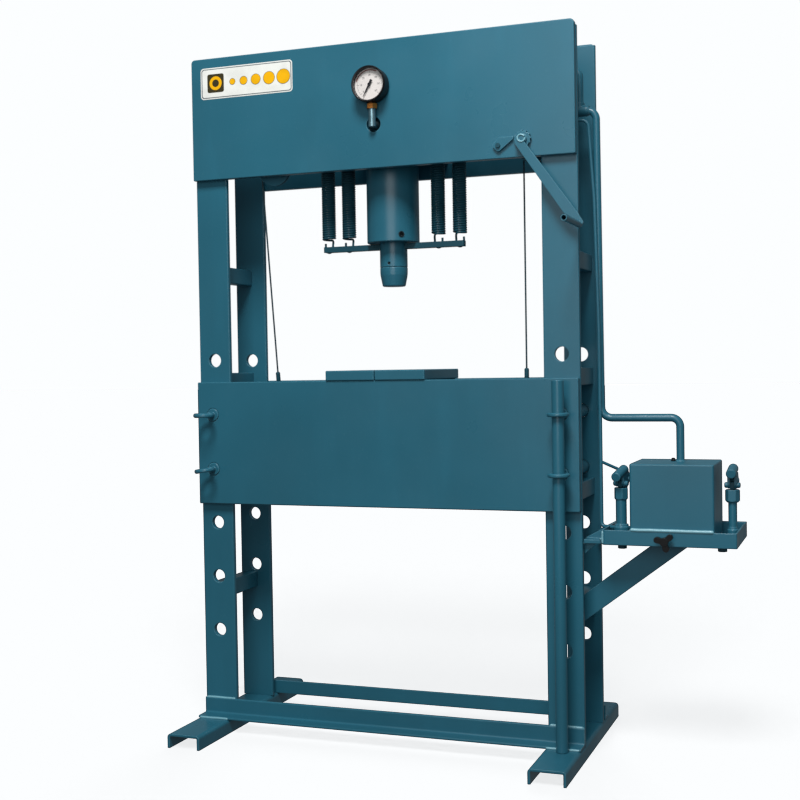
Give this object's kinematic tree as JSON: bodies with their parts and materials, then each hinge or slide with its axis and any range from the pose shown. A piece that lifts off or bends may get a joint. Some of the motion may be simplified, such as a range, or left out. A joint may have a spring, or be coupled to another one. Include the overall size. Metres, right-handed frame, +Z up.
{
  "type": "hydraulic workshop press",
  "caption": "Tall H-frame workshop press in petrol blue with an adjustable bed on pins, hydraulic ram with return springs, cable winch and hand pumps on a side bracket",
  "frame": {"origin": "on the floor under the ram's axis, half-way between the front and the rear bars", "axes": "X to the viewer's right along the frame's width, Y from the front to the back, Z up along the ram"},
  "size_m": [1.55, 0.695, 1.978],
  "materials": {
    "press_paint": "gloss petrol-blue machine paint",
    "bright_steel": "swaged steel cable ends",
    "ram_steel": "ground steel plungers",
    "spring_steel": "spring wire sprayed with the frame",
    "dark_steel": "blackened steel",
    "black_plastic": "moulded black",
    "dial_white": "printed card",
    "needle_black": "black pointer",
    "clear_glass": "clear",
    "brass_fitting": "machined brass",
    "wire_rope": "stranded steel rope"
  },
  "bodies": {
    "frame": {"top_plate_front": "press_paint", "top_plate_rear": "press_paint", "upright_front_left": "press_paint", "upright_front_right": "press_paint", "upright_rear_left": "press_paint", "upright_rear_right": "press_paint", "column_ties": "press_paint", "foot_left": "press_paint", "foot_right": "press_paint", "base_beam_front": "press_paint", "base_beam_rear": "press_paint", "bed_plate_front": "press_paint", "bed_plate_rear": "press_paint", "bed_cross_bars": "press_paint", "press_block_left": "press_paint", "press_block_right": "press_paint", "cylinder": "press_paint", "cylinder_head": "press_paint", "cylinder_saddles": "press_paint", "pump_tray": "press_paint", "tray_arms": "press_paint", "tray_brace": "press_paint", "oil_tank": "press_paint", "return_pipe": "press_paint", "pressure_line": "press_paint", "pump_body_left": "press_paint", "pump_body_right": "press_paint", "gauge_stem": "press_paint", "pulley_axle": "press_paint", "pin_upper_right": "press_paint", "pin_lower_right": "press_paint", "cylinder_gland": "dark_steel", "cylinder_plug": "dark_steel", "return_springs": "spring_steel", "gauge_case": "black_plastic", "gauge_dial": "dial_white", "gauge_glass": "clear_glass", "gauge_nut": "brass_fitting", "cable_left": "wire_rope", "cable_right": "wire_rope", "cable_ferrules": "bright_steel", "filler_plug": "black_plastic", "bolt_heads": "dark_steel"},
    "ram_body": {"ram": "press_paint", "ram_nose": "press_paint", "spring_bar": "press_paint"},
    "pin_upper": {"pin_upper_left": "press_paint"},
    "pin_lower": {"pin_lower_left": "press_paint"},
    "lever": {"lever_pipe": "press_paint"},
    "rocker_left": {"pump_rocker_left": "press_paint"},
    "plunger_left": {"pump_plunger_left": "ram_steel"},
    "rocker_right": {"pump_rocker_right": "press_paint"},
    "plunger_right": {"pump_plunger_right": "ram_steel"},
    "knob": {"release_knob": "black_plastic"},
    "needle": {"gauge_needle": "needle_black"},
    "winch": {"winch_shaft": "press_paint", "winch_drum": "press_paint", "crank": "press_paint"},
    "pulley": {"cable_pulley": "press_paint"},
    "pawl_lever": {"pawl": "press_paint"}
  },
  "joints": [
    {"name": "ram_slide", "type": "slide", "parent": "frame", "child": "ram_body", "axis": [0, 0, -1], "range_m": [0, 0.2], "deforming": ["return_springs"]},
    {"name": "pin_upper_pull", "type": "slide", "parent": "frame", "child": "pin_upper", "axis": [0, -1, 0], "range_m": [0, 0.31]},
    {"name": "pin_lower_pull", "type": "slide", "parent": "frame", "child": "pin_lower", "axis": [0, -1, 0], "range_m": [0, 0.31]},
    {"name": "lever_lift", "type": "slide", "parent": "frame", "child": "lever", "axis": [0, 0, 1], "range_m": [0, 0.91]},
    {"name": "rocker_left_swing", "type": "hinge", "parent": "frame", "child": "rocker_left", "pos_m": [0.66701, -0.00839, 0.752], "axis": [-0.9877, 0.1564, 0], "range_deg": [0, 38]},
    {"name": "rocker_right_swing", "type": "hinge", "parent": "frame", "child": "rocker_right", "pos_m": [0.956, -0.008, 0.752], "axis": [-1, 0, 0], "range_deg": [0, 38]},
    {"name": "plunger_left_lift", "type": "slide", "parent": "frame", "child": "plunger_left", "axis": [0, 0, 1], "range_m": [0, 0.022]},
    {"name": "plunger_right_lift", "type": "slide", "parent": "frame", "child": "plunger_right", "axis": [0, 0, 1], "range_m": [0, 0.022]},
    {"name": "knob_turn", "type": "hinge", "parent": "frame", "child": "knob", "pos_m": [0.793, -0.15, 0.601], "axis": [0, -1, 0], "range_deg": [0, 270]},
    {"name": "needle_turn", "type": "hinge", "parent": "frame", "child": "needle", "pos_m": [0.003, -0.182, 1.85], "axis": [0, 1, 0], "range_deg": [0, 270]},
    {"name": "crank_turn", "type": "hinge", "parent": "frame", "child": "winch", "pos_m": [0.431, -0.16, 1.67], "axis": [0, 1, 0], "continuous": true},
    {"name": "pulley_turn", "type": "hinge", "parent": "frame", "child": "pulley", "pos_m": [-0.335, -0.08915, 1.65304], "axis": [-0.0024, 0.9903, 0.1392], "continuous": true},
    {"name": "pawl_swing", "type": "hinge", "parent": "frame", "child": "pawl_lever", "pos_m": [0.363, -0.153, 1.6576], "axis": [0, -1, 0], "range_deg": [0, 25]}
  ],
  "couplings": [
    {"joint": "plunger_left_lift", "follows": "rocker_left_swing", "m_per_rad": 0.0329},
    {"joint": "plunger_right_lift", "follows": "rocker_right_swing", "m_per_rad": 0.0329},
    {"joint": "pulley_turn", "follows": "crank_turn", "ratio": 0.9048}
  ]
}
